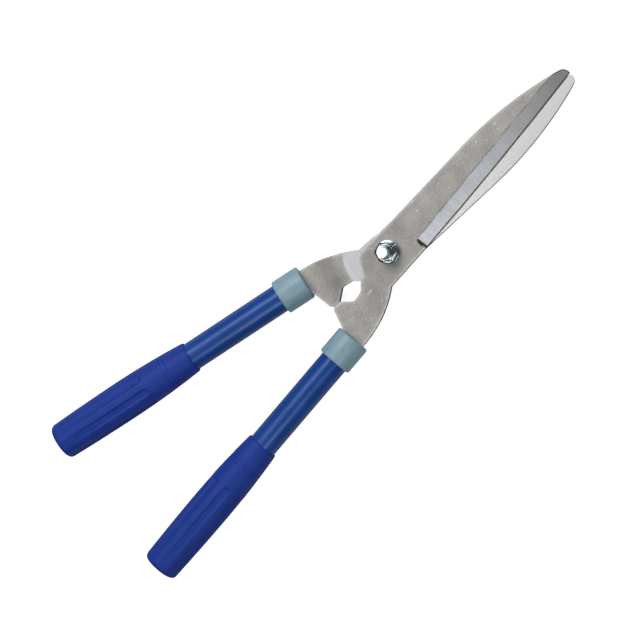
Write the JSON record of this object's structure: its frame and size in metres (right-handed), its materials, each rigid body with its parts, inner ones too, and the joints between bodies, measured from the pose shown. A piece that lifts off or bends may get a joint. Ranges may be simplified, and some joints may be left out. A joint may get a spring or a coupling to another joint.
{
  "type": "grass shears",
  "caption": "Long-handled grass shears: two crossed plate blades on a pivot bolt, cranked arms, tubular handles with collars and fluted grips",
  "frame": {"origin": "Middle of the pivot bolt head's flat outer face, on the pivot axis", "axes": "+X along the closed blades to the tips, +Y to the rear half's handle side, +Z along the pivot bolt from its head to its nut"},
  "size_m": [0.4733, 0.1492, 0.0723],
  "materials": {
    "blade_steel": "bare rolled plate, cutting bevels and rubbing faces ground bright",
    "zinc_plate": "bright zinc plate on turned and stamped fasteners",
    "collar_paint": "satin grey-blue coating on pressed steel",
    "tube_paint": "gloss blue stove enamel on steel tube",
    "tang_moulding": "as moulded, filled nylon",
    "grip_plastic": "matte soft plastic, moulded flutes"
  },
  "bodies": {
    "rear_half": {"rear_blade": "blade_steel", "pivot_bolt": "zinc_plate", "spring_washer": "zinc_plate", "pivot_nut": "zinc_plate", "rear_collar": "collar_paint", "rear_tube": "tube_paint", "rear_tang_sleeve": "tang_moulding", "rear_tang_pin": "zinc_plate", "rear_grip": "grip_plastic"},
    "front_half": {"front_blade": "blade_steel", "front_collar": "collar_paint", "front_tube": "tube_paint", "front_tang_sleeve": "tang_moulding", "front_tang_pin": "zinc_plate", "front_grip": "grip_plastic"}
  },
  "joints": [
    {"name": "blade_pivot", "type": "hinge", "parent": "rear_half", "child": "front_half", "pos_m": [0, 0, 0.0121], "axis": [0, 0, 1], "range_deg": [0, 65]}
  ]
}
